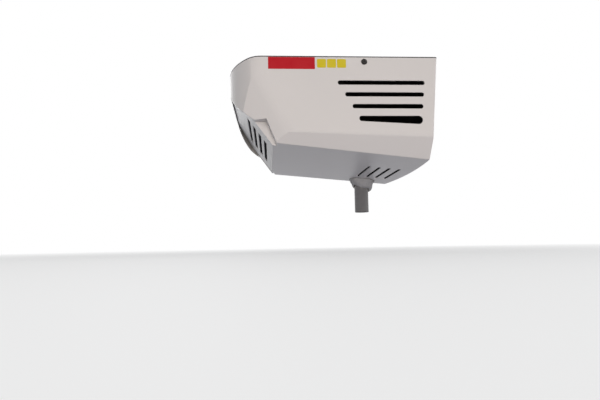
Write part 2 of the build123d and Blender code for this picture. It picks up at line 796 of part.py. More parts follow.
pieces = [
    ("roof_plate", roof_plate.part),
    ("roof_seal", roof_seal.part),
    ("cover", cover.part),
    ("outlet_grille", outlet_grille.part),
    ("coil_fins", coil_fins.part),
    ("coil_end_front", coil_end_front.part),
    ("coil_end_rear", coil_end_rear.part),
    ("coil_bends", coil_bends.part),
    ("suction_header", suction_header.part),
    ("liquid_header", liquid_header.part),
    ("expansion_valve", expansion_valve.part),
    ("suction_pipe", suction_pipe.part),
    ("liquid_pipe", liquid_pipe.part),
    ("drain_pan", drain_pan.part),
    ("drain_pipe", drain_pipe.part),
    ("blower_motor", blower_motor.part),
    ("blower_bracket", blower_bracket.part),
    ("blower_shaft", blower_shaft.part),
    ("blower_scroll_front", blower_scroll_front.part),
    ("blower_scroll_rear", blower_scroll_rear.part),
    ("conduit_collar", conduit_collar.part),
    ("conduit_sleeve", conduit_sleeve.part),
] + wheel_pieces + [("cover_screw_" + place, part) for place, part in screws]

os.makedirs("parts", exist_ok=True)
for label, part in pieces:
    part.label = label
    export_step(part, "parts/" + label + ".step")
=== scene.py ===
from math import cos, pi, radians, sin

import bmesh
import bpy
from mathutils import Matrix, Vector, noise


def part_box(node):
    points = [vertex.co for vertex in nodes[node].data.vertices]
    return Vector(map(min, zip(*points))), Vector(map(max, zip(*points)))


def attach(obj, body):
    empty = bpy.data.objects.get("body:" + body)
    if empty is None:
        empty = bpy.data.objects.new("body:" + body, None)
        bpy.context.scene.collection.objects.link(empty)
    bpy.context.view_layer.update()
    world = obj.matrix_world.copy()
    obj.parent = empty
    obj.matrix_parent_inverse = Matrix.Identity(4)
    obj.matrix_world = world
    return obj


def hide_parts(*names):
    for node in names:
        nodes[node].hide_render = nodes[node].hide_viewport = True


# Looks of a van's ceiling evaporator unit, in metres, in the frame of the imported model.
# The ceiling is the plane z = 0, +X is the air inlet end, -Y is the flank that faces the camera.

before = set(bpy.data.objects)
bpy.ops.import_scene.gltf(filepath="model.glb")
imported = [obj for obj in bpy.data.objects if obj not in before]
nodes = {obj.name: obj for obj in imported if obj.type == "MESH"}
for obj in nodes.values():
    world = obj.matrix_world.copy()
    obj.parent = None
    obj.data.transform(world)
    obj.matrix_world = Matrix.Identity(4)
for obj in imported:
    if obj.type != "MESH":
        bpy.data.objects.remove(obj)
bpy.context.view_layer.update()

# Camera, set where the photograph was taken from
camera_place = Vector((-0.170, -1.500, -0.500))
camera_heading = radians(-3.675)
camera_pitch = radians(5.53)
camera_roll = radians(-1.01)
camera_lens = 28.2
camera_sensor = 36.0
camera_near = 0.01
camera_far = 50.0

# Floor: its two tones, the tint that it throws back at the unit, how white it looks near the middle,
# and over which distance it turns all white
floor_z = -0.52
floor_reach = 6.0
floor_roughness = 0.7
floor_tints = ((0.80, 0.80, 0.81), (0.84, 0.84, 0.84))
floor_bounce = (0.42, 0.43, 0.50)
floor_white = 0.45
floor_fade = (0.8, 2.4)

# Surroundings and lamps
pure_white = (1.0, 1.0, 1.0)
ambient_strength = 0.32
ambient_tint = (0.965, 0.985, 1.0)
lamp_aim = Vector((0.0, 0.0, -0.15))
lamps = (
    # name, place, width, height, power, tint, mirrored in gloss
    ("key", (-0.1, -3.6, -0.62), 1.6, 0.5, 72.0, (1.0, 0.93, 0.875), False),
    ("side", (2.6, 0.4, 1.4), 1.8, 1.8, 24.0, pure_white, True),
    ("back", (-1.0, 2.8, 1.2), 1.8, 1.8, 24.0, pure_white, True),
)

# Tones of dirt and wear, which also carry painted shade in corners, and the black of the painted shade
# inside the shells
dust_and_shade_grey = (0.30, 0.29, 0.27)
grime_and_shade_black = (0.012, 0.012, 0.012)
stain_and_shade_brown = (0.16, 0.11, 0.07)
stain_and_shade_grey = (0.28, 0.28, 0.27)
inside_shade_black = (0.008, 0.008, 0.008)

# Grain: the coarse one's scale and the fine one's height, as shares of the other's
coarse_grain_scale = 0.04
fine_grain_height = 0.35

# Dust and painted corner shade: how much painted shade gathers in shut-in corners, the level that the mask
# starts at, and its soft edge
corner_shade = 0.9
dust_and_shade_level = 1.12
dust_and_shade_edge = (-0.10, 0.45)

# Rubbed lines: two sets, the turn's shares about the other axes, how far full cover lowers the level
# that they start at, and their soft edge
rub_sets = (
    # turn, stretch
    (0.5, (1.0, 1.0, 14.0)),
    (-0.9, (11.0, 1.0, 1.0)),
)
rub_tilt = 0.7
rub_heading = 0.4
rub_level = 0.42
rub_edge = (-0.02, 0.10)

# What dust, painted corner shade and rubbing do to a plastic: share of the rubbed tone, its gain, added
# roughness, and the reach of the painted corner shade
rub_share = 0.25
rub_gain = 1.12
rub_roughness = 0.10
dust_roughness = 0.35
plastic_shade_reach = 0.02

# What stains, painted corner shade and drawn lines do to a metal
stain_and_shade_share = 0.7
stain_roughness = 0.30
metal_shade_reach = 0.01
line_roughness = 0.25
line_depth = 0.00004

# Foam: its pores' width, their roughness from middle to rim, and their depth
pore_width = 0.6
pore_roughness = (0.95, 0.80)
pore_depth = 0.0006

# Sticker vinyl: faded patches, which are duller too, and a slight ripple
vinyl_gloss = 0.12
vinyl_fade_edge = (0.35, 0.75)
vinyl_fade = 0.5
vinyl_rough_edge = (0.3, 0.7)
vinyl_roughness = (0.36, 0.50)
vinyl_ripple = 0.0001

# Cover's screws: the side that each looks to, and a dark driven head on a lighter washer
screw_sides = {"front": (0, -1, 0), "rear": (0, 1, 0), "inlet": (1, 0, 0)}
washer_tint = (0.20, 0.19, 0.18)
head_tint = (0.035, 0.032, 0.03)
head_height = 0.0031
screw_gloss = 0.3
screw_roughness = 0.42
screw_dust_roughness = 0.2
screw_grain = 0.0001

# Outlet end: its slope, the middle of its face, and how deep the grille's front and back lie behind it
outlet_slope = radians(54)
outlet_facing = Vector((-sin(outlet_slope), 0.0, -cos(outlet_slope)))
outlet_middle = Vector((-0.2355, 0.0, -0.126))
grille_front_depth = 0.0015
grille_back_depth = 0.0048
grille_front = outlet_middle - grille_front_depth * outlet_facing
grille_back = outlet_middle - grille_back_depth * outlet_facing

# Painted shade inside the shells: a face is painted dark where it looks at the middle from farther off
# than the reach, and lies behind the mouth
cover_inside = {
    "Middle": (0.0, 0.0, -0.05), "Reach": 0.15, "Mouth": grille_front, "Mouth Facing": outlet_facing,
}
grille_inside = {
    "Middle": (0.0, 0.0, 0.0), "Reach": -1.0, "Mouth": grille_back, "Mouth Facing": outlet_facing,
}
roof_underside = {
    "Middle": (0.0, 0.0, -0.25), "Reach": 0.2, "Mouth": (0.0, 0.0, 1.0), "Mouth Facing": (0.0, 0.0, 1.0),
}

# Soft moulded edges: width of the rounding, and how near two points are to count as one
flat_angle = radians(0.4)
edge_angle = radians(35)
edge_segments = 2
soft_edges = (
    # node, width, joined
    ("cover", 0.0009, 0.0002),
    ("outlet_grille", 0.0006, 0.00001),
    ("cover_screw_front", 0.0001, 0.00001),
    ("cover_screw_rear", 0.0001, 0.00001),
    ("cover_screw_inlet", 0.0001, 0.00001),
)

# Stickers on the front flank
flank_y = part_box("cover")[0].y
sticker_thickness = 0.00018
corner_steps = 8
red_sticker = {"left": -0.171, "right": -0.047, "top": -0.0030, "bottom": -0.0358, "corner": 0.0015}
small_sticker_count = 3
small_sticker_side = 0.024
small_sticker_pitch = 0.0268
small_sticker_first_x = -0.0295
small_sticker_z = -0.0198
small_sticker_corner = 0.003

# Cover's tilted base: where it starts at the outlet end, and its fall over the cover's length
base_start = Vector((-0.284, 0.0, -0.2155))
base_drop_per_length = 0.0587 / 0.568

# Sealant pressed round the sleeve by hand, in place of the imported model's plain ring: its reach and
# drop wave round the ring, and it is smeared out towards one side
sealant_hole = 0.0254
sealant_reach = 0.0405
sealant_drop = 0.033
sealant_rim = 0.005
sealant_gap = 0.0002
sealant_angles = 96
sealant_steps = 14
reach_waves = (
    # height as a share, count round the ring, start
    (0.05, 2, 0.9),
    (0.07, 3, 2.1),
    (0.04, 5, 0.4),
)
drop_waves = ((0.20, 1, 1.2), (0.10, 3, 0.5))
rim_waves = ((0.5, 4, 1.0),)
smear_share = 0.28
smear_angle = 0.35 - pi / 2
smear_sharpness = 3
rim_sharpness = 8
shoulder_curve = 0.75
straight_fall = 0.30
bulge_curve = 1.35
pressed_lumps = (
    # lumps per metre, height
    (48.0, 0.0052),
    (130.0, 0.0016),
)
lump_spread = 1.02
lump_fade = 0.7


def make_camera():
    """Camera with the photograph's place, aim and field of view."""
    data = bpy.data.cameras.new("camera")
    data.lens = camera_lens
    data.sensor_width = camera_sensor
    data.clip_start = camera_near
    data.clip_end = camera_far
    camera = bpy.data.objects.new("camera", data)
    bpy.context.scene.collection.objects.link(camera)
    turn = (
        Matrix.Rotation(camera_heading, 4, "Z")
        @ Matrix.Rotation(radians(90) + camera_pitch, 4, "X")
        @ Matrix.Rotation(camera_roll, 4, "Z")
    )
    camera.matrix_world = Matrix.Translation(camera_place) @ turn
    bpy.context.scene.camera = camera


make_camera()


# Node helpers

def feed(tree, socket, value):
    """Links a socket to another node's output, or sets its value."""
    if isinstance(value, bpy.types.NodeSocket):
        tree.links.new(value, socket)
    else:
        socket.default_value = value


def put(tree, kind, settings=None, **values):
    """Adds a node, sets its properties and feeds its named inputs."""
    node = tree.nodes.new(kind)
    for key, value in (settings or {}).items():
        setattr(node, key, value)
    for name, value in values.items():
        feed(tree, node.inputs[name], value)
    return node


def colour(value):
    """Colour with full alpha."""
    return (value[0], value[1], value[2], 1.0)


def maths(tree, operation, first, second):
    """Math node's output of two numbers or sockets."""
    node = put(tree, "ShaderNodeMath", {"operation": operation})
    feed(tree, node.inputs[0], first)
    feed(tree, node.inputs[1], second)
    return node.outputs[0]


def vector_maths(tree, operation, first, second):
    """Vector Math node of two vectors' sockets."""
    node = put(tree, "ShaderNodeVectorMath", {"operation": operation})
    tree.links.new(first, node.inputs[0])
    tree.links.new(second, node.inputs[1])
    return node


def mix_colour(tree, factor, first, second):
    """Mix node's output of two colours, each a socket or three numbers."""
    node = put(tree, "ShaderNodeMix", {"data_type": "RGBA"})
    used = {socket.name: socket for socket in node.inputs if socket.enabled}
    feed(tree, used["Factor"], factor)
    for name, value in (("A", first), ("B", second)):
        feed(tree, used[name], value if isinstance(value, bpy.types.NodeSocket) else colour(value))
    return [socket for socket in node.outputs if socket.enabled][0]


def spread(tree, value, low, high, to_low=0.0, to_high=1.0):
    """Map Range output that takes low to to_low and high to to_high."""
    node = put(tree, "ShaderNodeMapRange", {"clamp": True}, Value=value)
    node.inputs["From Min"].default_value = low
    node.inputs["From Max"].default_value = high
    node.inputs["To Min"].default_value = to_low
    node.inputs["To Max"].default_value = to_high
    return node.outputs["Result"]


def clouds(tree, place, scale, detail, rough=0.5):
    """Noise texture's value over the surface."""
    node = put(tree, "ShaderNodeTexNoise", Vector=place, Scale=scale, Detail=detail, Roughness=rough)
    return node.outputs["Fac"]


def reach_along(tree, point, start, direction):
    """How far a point lies from the start along a direction; each a socket."""
    away = vector_maths(tree, "SUBTRACT", point, start)
    return vector_maths(tree, "DOT_PRODUCT", away.outputs[0], direction).outputs["Value"]


# Shared effects

FLOAT = "NodeSocketFloat"
COLOUR = "NodeSocketColor"
VECTOR = "NodeSocketVector"


def start_group(name, inputs, output):
    """New shader group with named inputs and one output; returns its tree, inputs and output socket."""
    tree = bpy.data.node_groups.new(name, "ShaderNodeTree")
    for socket_name, kind, default in inputs:
        socket = tree.interface.new_socket(name=socket_name, in_out="INPUT", socket_type=kind)
        if default is not None:
            socket.default_value = default
    tree.interface.new_socket(name=output[0], in_out="OUTPUT", socket_type=output[1])
    given = tree.nodes.new("NodeGroupInput").outputs
    return tree, given, tree.nodes.new("NodeGroupOutput").inputs[output[0]]


def make_tone_drift():
    """Slow drift of a colour over the surface, as in any moulding or sheet."""
    inputs = [
        ("Vector", VECTOR, None), ("Colour", COLOUR, None), ("Amount", FLOAT, 0.05), ("Scale", FLOAT, 8.0),
    ]
    tree, given, made = start_group("tone_drift", inputs, ("Colour", COLOUR))
    wide = clouds(tree, given["Vector"], given["Scale"], detail=4.0)
    swing = maths(tree, "SUBTRACT", wide, 0.5)
    gain = maths(tree, "ADD", maths(tree, "MULTIPLY", swing, given["Amount"]), 1.0)
    scaled = put(tree, "ShaderNodeVectorMath", {"operation": "SCALE"}, Scale=gain)
    tree.links.new(given["Colour"], scaled.inputs[0])
    tree.links.new(scaled.outputs[0], made)
    return tree


def make_grain():
    """Fine moulded or cast grain as a height."""
    inputs = [("Vector", VECTOR, None), ("Scale", FLOAT, 600.0), ("Rough", FLOAT, 0.5)]
    tree, given, made = start_group("grain", inputs, ("Height", FLOAT))
    fine = clouds(tree, given["Vector"], given["Scale"], detail=3.0, rough=given["Rough"])
    coarse_scale = maths(tree, "MULTIPLY", given["Scale"], coarse_grain_scale)
    coarse = clouds(tree, given["Vector"], coarse_scale, detail=2.0)
    both = maths(tree, "ADD", maths(tree, "MULTIPLY", fine, fine_grain_height), coarse)
    tree.links.new(both, made)
    return tree


def make_dust_and_corner_shade():
    """Mask of dust and grime with painted shade: patchy dust, and painted shade gathered where the surface
    is shut in.
    """
    inputs = [
        ("Vector", VECTOR, None), ("Scale", FLOAT, 14.0), ("Cover", FLOAT, 0.4), ("Reach", FLOAT, 0.02),
    ]
    tree, given, made = start_group("dust_and_corner_shade", inputs, ("Mask", FLOAT))
    patch = clouds(tree, given["Vector"], given["Scale"], detail=7.0, rough=0.62)
    # Ambient occlusion darkens shut-in corners: painted shade
    shut = put(tree, "ShaderNodeAmbientOcclusion", {"samples": 6}, Distance=given["Reach"])
    corner = maths(tree, "SUBTRACT", 1.0, shut.outputs["AO"])
    edge = maths(tree, "ADD", patch, maths(tree, "MULTIPLY", corner, corner_shade))
    level = maths(tree, "SUBTRACT", dust_and_shade_level, given["Cover"])
    over = maths(tree, "SUBTRACT", edge, level)
    tree.links.new(spread(tree, over, *dust_and_shade_edge), made)
    return tree


def make_scuffs():
    """Mask of thin rubbed lines that run two ways."""
    inputs = [("Vector", VECTOR, None), ("Scale", FLOAT, 30.0), ("Cover", FLOAT, 0.3)]
    tree, given, made = start_group("scuffs", inputs, ("Mask", FLOAT))
    lines = []
    for turn, stretch in rub_sets:
        turned = put(tree, "ShaderNodeMapping", Vector=given["Vector"])
        turned.inputs["Rotation"].default_value = (turn, turn * rub_tilt, turn * rub_heading)
        turned.inputs["Scale"].default_value = stretch
        lines.append(clouds(tree, turned.outputs["Vector"], given["Scale"], detail=5.0, rough=0.7))
    most = maths(tree, "MAXIMUM", lines[0], lines[1])
    level = maths(tree, "SUBTRACT", 1.0, maths(tree, "MULTIPLY", given["Cover"], rub_level))
    over = maths(tree, "SUBTRACT", most, level)
    tree.links.new(spread(tree, over, *rub_edge), made)
    return tree


def make_brushing():
    """Lines of brushed or rolled metal along one axis, as a height."""
    inputs = [("Vector", VECTOR, None), ("Stretch", VECTOR, (1.0, 1.0, 1.0))]
    tree, given, made = start_group("brushing", inputs, ("Height", FLOAT))
    drawn = vector_maths(tree, "MULTIPLY", given["Vector"], given["Stretch"])
    tree.links.new(clouds(tree, drawn.outputs[0], scale=1.0, detail=4.0, rough=0.65), made)
    return tree


def make_inside_shade():
    """Mask of a shell's inside, where shade is painted: faces that look towards its middle, and that lie
    behind its mouth.
    """
    inputs = [
        ("Vector", VECTOR, None), ("Facing", VECTOR, None), ("Middle", VECTOR, None),
        ("Reach", FLOAT, 0.15), ("Mouth", VECTOR, None), ("Mouth Facing", VECTOR, None),
    ]
    tree, given, made = start_group("inside_shade", inputs, ("Mask", FLOAT))
    outward = reach_along(tree, given["Vector"], given["Middle"], given["Facing"])
    inward = maths(tree, "MULTIPLY", outward, -1.0)
    ahead = reach_along(tree, given["Vector"], given["Mouth"], given["Mouth Facing"])
    facing_in = maths(tree, "GREATER_THAN", inward, given["Reach"])
    behind = maths(tree, "LESS_THAN", ahead, 0.0)
    tree.links.new(maths(tree, "MULTIPLY", facing_in, behind), made)
    return tree


tone_drift = make_tone_drift()
grain = make_grain()
dust_and_corner_shade = make_dust_and_corner_shade()
scuffs = make_scuffs()
brushing = make_brushing()
inside_shade = make_inside_shade()


def use(tree, group, **values):
    """Places a shared effect in a material with its own values; returns its output."""
    return put(tree, "ShaderNodeGroup", {"node_tree": group}, **values).outputs[0]


# Finishes

def start_material(name):
    """New material; returns it with its tree, its Principled shader and the object's own coordinates."""
    material = bpy.data.materials.new(name)
    material.use_nodes = True
    tree = material.node_tree
    shader = tree.nodes["Principled BSDF"]
    place = tree.nodes.new("ShaderNodeTexCoord").outputs["Object"]
    return material, tree, shader, place


def finish_surface(tree, shader, base, rough, height, bump_depth):
    """Joins colour, roughness and height to the shader."""
    tree.links.new(base, shader.inputs["Base Color"])
    tree.links.new(rough, shader.inputs["Roughness"])
    bump = put(tree, "ShaderNodeBump", Height=height, Distance=bump_depth)
    tree.links.new(bump.outputs["Normal"], shader.inputs["Normal"])


def paint_inside_shade(tree, place, base, rough, inside):
    """Paints the inside of a shell dark and dull as painted shade; returns colour, roughness and mask."""
    facing = tree.nodes.new("ShaderNodeTexCoord").outputs["Normal"]
    mask = use(tree, inside_shade, Vector=place, Facing=facing, **inside)
    return mix_colour(tree, mask, base, inside_shade_black), maths(tree, "MAXIMUM", rough, mask), mask


def plastic(name, tint, grime_and_shade, roughness, dust_and_shade_cover, drift=0.06, grain_scale=700.0, grain_depth=0.00012,
            rubbed=0.25, gloss=0.5, inside=None):
    """Moulded plastic: drift of tone, grain, patchy dust with painted shade in corners, rubbed lines,
    painted shade over the inside if asked.
    """
    material, tree, shader, place = start_material(name)
    shader.inputs["Specular IOR Level"].default_value = gloss
    toned = use(tree, tone_drift, Vector=place, Colour=colour(tint), Amount=drift, Scale=7.0)
    dirt_and_shade = use(tree, dust_and_corner_shade, Vector=place, Scale=22.0, Cover=dust_and_shade_cover, Reach=plastic_shade_reach)
    rubs = use(tree, scuffs, Vector=place, Scale=36.0, Cover=rubbed)
    # Dirt and painted corner shade darken the tone
    soiled_and_shaded = mix_colour(tree, dirt_and_shade, toned, grime_and_shade)
    rubbed_tint = tuple(min(1.0, part * rub_gain) for part in tint)
    base = mix_colour(tree, maths(tree, "MULTIPLY", rubs, rub_share), soiled_and_shaded, rubbed_tint)
    dull_dirt = maths(tree, "MULTIPLY", dirt_and_shade, dust_roughness)
    dull_rubs = maths(tree, "MULTIPLY", rubs, rub_roughness)
    rough = maths(tree, "ADD", maths(tree, "ADD", dull_dirt, dull_rubs), roughness)
    if inside:
        base, rough, _ = paint_inside_shade(tree, place, base, rough, inside)
    cast = use(tree, grain, Vector=place, Scale=grain_scale)
    finish_surface(tree, shader, base, rough, cast, grain_depth)
    return material


def metal(name, tint, stain_and_shade, roughness, stain_and_shade_cover, stretch, inside=None):
    """Rolled, drawn or brushed metal with stains and painted shade in corners, and painted shade on one
    side if asked.
    """
    material, tree, shader, place = start_material(name)
    shader.inputs["Metallic"].default_value = 1.0
    toned = use(tree, tone_drift, Vector=place, Colour=colour(tint), Amount=0.10, Scale=12.0)
    dirt_and_shade = use(tree, dust_and_corner_shade, Vector=place, Scale=30.0, Cover=stain_and_shade_cover, Reach=metal_shade_reach)
    lines = use(tree, brushing, Vector=place, Stretch=stretch)
    # Stains and painted corner shade darken the tone
    base = mix_colour(tree, maths(tree, "MULTIPLY", dirt_and_shade, stain_and_shade_share), toned, stain_and_shade)
    worn = maths(tree, "MULTIPLY", maths(tree, "SUBTRACT", lines, 0.5), line_roughness)
    dull = maths(tree, "MULTIPLY", dirt_and_shade, stain_roughness)
    rough = maths(tree, "ADD", maths(tree, "ADD", worn, dull), roughness)
    if inside:
        base, rough, shaded_inside = paint_inside_shade(tree, place, base, rough, inside)
        tree.links.new(maths(tree, "SUBTRACT", 1.0, shaded_inside), shader.inputs["Metallic"])
    finish_surface(tree, shader, base, rough, lines, line_depth)
    return material


def foam(name, tint):
    """Closed-cell foam with open pores on its cut sides."""
    material, tree, shader, place = start_material(name)
    toned = use(tree, tone_drift, Vector=place, Colour=colour(tint), Amount=0.3, Scale=40.0)
    pore = put(tree, "ShaderNodeTexVoronoi", Vector=place, Scale=900.0).outputs["Distance"]
    rough = spread(tree, pore, 0.0, pore_width, *pore_roughness)
    finish_surface(tree, shader, toned, rough, pore, pore_depth)
    return material


def fixed_point(tree, value):
    """Output of a fixed vector."""
    return put(tree, "ShaderNodeCombineXYZ", X=value[0], Y=value[1], Z=value[2]).outputs[0]


def screw_paint(side):
    """Dark driven head on a lighter washer, told apart by how far they stand out from the cover."""
    material, tree, shader, place = start_material("screw_" + side)
    shader.inputs["Specular IOR Level"].default_value = screw_gloss
    facing = screw_sides[side]
    low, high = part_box("cover_screw_" + side)
    out = reach_along(tree, place, fixed_point(tree, (low + high) / 2), fixed_point(tree, facing))
    outermost = abs(Vector(facing).dot(high - low)) / 2
    head = maths(tree, "GREATER_THAN", out, outermost - head_height)
    toned = use(tree, tone_drift, Vector=place, Colour=colour(washer_tint), Amount=0.3, Scale=160.0)
    # Mask of dirt and painted shade in the corners round the head and washer
    dirt_and_shade = use(tree, dust_and_corner_shade, Vector=place, Scale=260.0, Cover=0.5, Reach=0.003)
    base = mix_colour(tree, head, toned, head_tint)
    soiled_and_shaded = mix_colour(tree, dirt_and_shade, base, grime_and_shade_black)
    rough = maths(tree, "ADD", maths(tree, "MULTIPLY", dirt_and_shade, screw_dust_roughness), screw_roughness)
    cast = use(tree, grain, Vector=place, Scale=1400.0)
    finish_surface(tree, shader, soiled_and_shaded, rough, cast, screw_grain)
    return material


def sticker_vinyl(name, tint, faded):
    """Printed vinyl, faded in patches, with a dull gloss."""
    material, tree, shader, place = start_material(name)
    shader.inputs["Specular IOR Level"].default_value = vinyl_gloss
    wide = clouds(tree, place, scale=25.0, detail=4.0)
    fade = spread(tree, wide, *vinyl_fade_edge, 0.0, vinyl_fade)
    base = mix_colour(tree, fade, tint, faded)
    rough = spread(tree, wide, *vinyl_rough_edge, *vinyl_roughness)
    ripple = clouds(tree, place, scale=120.0, detail=2.0)
    finish_surface(tree, shader, base, rough, ripple, vinyl_ripple)
    return material


sealant_finish = plastic(
    "pressed_sealant", (0.30, 0.297, 0.302), dust_and_shade_grey, 0.58, 0.40, drift=0.16, rubbed=0.10,
    grain_scale=300.0, grain_depth=0.0010,
)
red_vinyl = sticker_vinyl("red_vinyl", (0.46, 0.014, 0.022), (0.52, 0.035, 0.04))
yellow_vinyl = sticker_vinyl("yellow_vinyl", (0.62, 0.50, 0.02), (0.66, 0.56, 0.09))

# Each finish with the solids that have it. The photograph shows the slots black, so what lies behind
# them is dark.
finishes = (
    # plastic: name, tint, tint of dirt and painted corner shade, roughness, how much dust and painted
    # shade
    # metal: name, tint, tint of stains and painted corner shade, roughness, how much stain and painted
    # shade, stretch of its lines
    (plastic("cover_moulding", (0.665, 0.64, 0.625), dust_and_shade_grey, 0.40, 0.30, drift=0.05, gloss=0.4,
             inside=cover_inside),
     ["cover"]),
    # The grille is the cover's off-white plastic; its tint is darker than the cover's as painted shade
    (plastic("grille_moulding_darkened_as_shade", (0.455, 0.447, 0.447), dust_and_shade_grey, 0.34, 0.36, drift=0.05,
             inside=grille_inside),
     ["outlet_grille"]),
    (foam("seal_foam", (0.02, 0.02, 0.022)), ["roof_seal"]),
    (metal("roof_sheet", (0.62, 0.63, 0.64), stain_and_shade_grey, 0.34, 0.35, (12.0, 900.0, 60.0),
           inside=roof_underside),
     ["roof_plate"]),
    # Coil fins made near-black as painted shade behind the slots
    (plastic("shade_black_fin", (0.010, 0.0105, 0.011), grime_and_shade_black, 0.60, 0.45, gloss=0.06,
             grain_scale=900.0, grain_depth=0.0004),
     ["coil_fins"]),
    # Coil end sheets made near-black as painted shade behind the slots
    (plastic("shade_black_sheet", (0.009, 0.0092, 0.0095), grime_and_shade_black, 0.55, 0.40, drift=0.10, gloss=0.06),
     ["coil_end_front", "coil_end_rear"]),
    # Bends and headers made near-black as painted shade behind the slots
    (plastic("shade_black_tube", (0.012, 0.0115, 0.011), grime_and_shade_black, 0.50, 0.40, drift=0.12, gloss=0.08),
     ["coil_bends", "suction_header", "liquid_header"]),
    (foam("pipe_insulation", (0.012, 0.012, 0.013)), ["suction_pipe"]),
    # Copper, its tint darkened as painted shade behind the slots
    (metal("copper_tube", (0.30, 0.14, 0.09), stain_and_shade_brown, 0.42, 0.60, (200.0, 200.0, 40.0)),
     ["liquid_pipe"]),
    (metal("valve_brass", (0.42, 0.30, 0.13), stain_and_shade_brown, 0.38, 0.50, (150.0, 150.0, 150.0)),
     ["expansion_valve"]),
    # Black pan plastic, darkened further as painted shade behind the slots
    (plastic("pan_plastic", (0.007, 0.007, 0.0075), grime_and_shade_black, 0.60, 0.45, gloss=0.05), ["drain_pan"]),
    (plastic("drain_tube", (0.27, 0.28, 0.28), dust_and_shade_grey, 0.40, 0.35), ["drain_pipe"]),
    (plastic("motor_paint", (0.012, 0.012, 0.013), dust_and_shade_grey, 0.36, 0.38, grain_depth=0.0002),
     ["blower_motor"]),
    (metal("zinc_plate", (0.52, 0.54, 0.55), stain_and_shade_grey, 0.36, 0.40, (60.0, 60.0, 60.0)),
     ["blower_bracket"]),
    (metal("ground_steel", (0.46, 0.47, 0.48), stain_and_shade_brown, 0.24, 0.30, (900.0, 30.0, 900.0)),
     ["blower_shaft"]),
    (plastic("wheel_plastic", (0.012, 0.012, 0.013), grime_and_shade_black, 0.55, 0.42, gloss=0.12),
     ["blower_disc_front", "blower_disc_rear", "blower_blades_front", "blower_blades_rear",
      "blower_ring_front", "blower_ring_rear"]),
    (plastic("scroll_plastic", (0.010, 0.010, 0.011), grime_and_shade_black, 0.52, 0.40, gloss=0.12),
     ["blower_scroll_front", "blower_scroll_rear"]),
    (sealant_finish, ["conduit_collar"]),
    # Grey sleeve plastic, its tint darkened as painted shade
    (plastic("sleeve_plastic", (0.135, 0.133, 0.134), dust_and_shade_grey, 0.42, 0.38, drift=0.10),
     ["conduit_sleeve"]),
    (screw_paint("front"), ["cover_screw_front"]),
    (screw_paint("rear"), ["cover_screw_rear"]),
    (screw_paint("inlet"), ["cover_screw_inlet"]),
)

for material, node_names in finishes:
    for node_name in node_names:
        slots = nodes[node_name].data.materials
        slots.clear()
        slots.append(material)


# Edges and pieces

def soften(name, width, joined):
    """Rounds the sharp edges of a solid a little, as a mould leaves them."""
    solid = nodes[name]
    weld = solid.modifiers.new("weld", "WELD")
    weld.merge_threshold = joined
    flat = solid.modifiers.new("flat_faces", "DECIMATE")
    flat.decimate_type = "DISSOLVE"
    flat.angle_limit = flat_angle
    bevel = solid.modifiers.new("soft_edges", "BEVEL")
    bevel.width = width
    bevel.segments = edge_segments
    bevel.limit_method = "ANGLE"
    bevel.angle_limit = edge_angle
    normals = solid.modifiers.new("even_normals", "WEIGHTED_NORMAL")
    normals.keep_sharp = True


def add_piece(build, name, material):
    """Turns a closed build into a piece that rides on the housing."""
    bmesh.ops.recalc_face_normals(build, faces=build.faces)
    mesh = bpy.data.meshes.new(name)
    build.to_mesh(mesh)
    build.free()
    mesh.materials.append(material)
    piece = bpy.data.objects.new(name, mesh)
    bpy.context.scene.collection.objects.link(piece)
    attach(piece, "housing")
    return piece


def rounded_outline(width, height, corner):
    """Points of a rectangle with round corners, about the origin."""
    points = []
    for number, (side_x, side_y) in enumerate(((1, 1), (-1, 1), (-1, -1), (1, -1))):
        centre_x = side_x * (width / 2 - corner)
        centre_y = side_y * (height / 2 - corner)
        for step in range(corner_steps + 1):
            angle = (number + step / corner_steps) * pi / 2
            points.append((centre_x + corner * cos(angle), centre_y + corner * sin(angle)))
    return points


def flank_sticker(name, centre_x, centre_z, width, height, corner, material):
    """Thin sticker with round corners, flat on the front flank."""
    build = bmesh.new()
    outline = [(centre_x + x, centre_z + z) for x, z in rounded_outline(width, height, corner)]
    back = [build.verts.new((x, flank_y, z)) for x, z in outline]
    front = [build.verts.new((x, flank_y - sticker_thickness, z)) for x, z in outline]
    build.faces.new(front)
    build.faces.new(list(reversed(back)))
    for number in range(len(outline)):
        following = (number + 1) % len(outline)
        build.faces.new((front[number], back[number], back[following], front[following]))
    add_piece(build, name, material)


def base_height(x):
    """Height of the cover's outer base at x."""
    return base_start.z - (x - base_start.x) * base_drop_per_length


def waves(angle, table):
    """Sum of the table's waves at an angle round the ring."""
    return sum(height * sin(count * angle + start) for height, count, start in table)


def sealant_point(centre, angle, share):
    """Point of the sealant's outside at an angle, from its rim on the base (share 0) to the sleeve (1)."""
    turn = share * pi / 2
    smear = smear_share * max(0.0, cos(angle - smear_angle)) ** smear_sharpness
    reach = sealant_reach * (1 + waves(angle, reach_waves) + smear)
    drop = sealant_drop * (1 + waves(angle, drop_waves))
    thin_rim = sealant_rim * (1 + waves(angle, rim_waves)) * (1 - share) ** rim_sharpness
    radius = sealant_hole + (reach - sealant_hole) * cos(turn) ** shoulder_curve + thin_rim
    fall = drop * (straight_fall * share + (1 - straight_fall) * sin(turn) ** bulge_curve)
    x = centre.x + radius * cos(angle)
    y = centre.y + radius * sin(angle)
    point = Vector((x, y, base_height(x) - sealant_gap - fall))
    pressed = sum(noise.noise(point * count) * height for count, height in pressed_lumps)
    kept = sin(pi * min(1.0, share * lump_spread)) ** lump_fade
    out = Vector((cos(angle) * cos(turn), sin(angle) * cos(turn), -sin(turn)))
    return point + out * pressed * kept


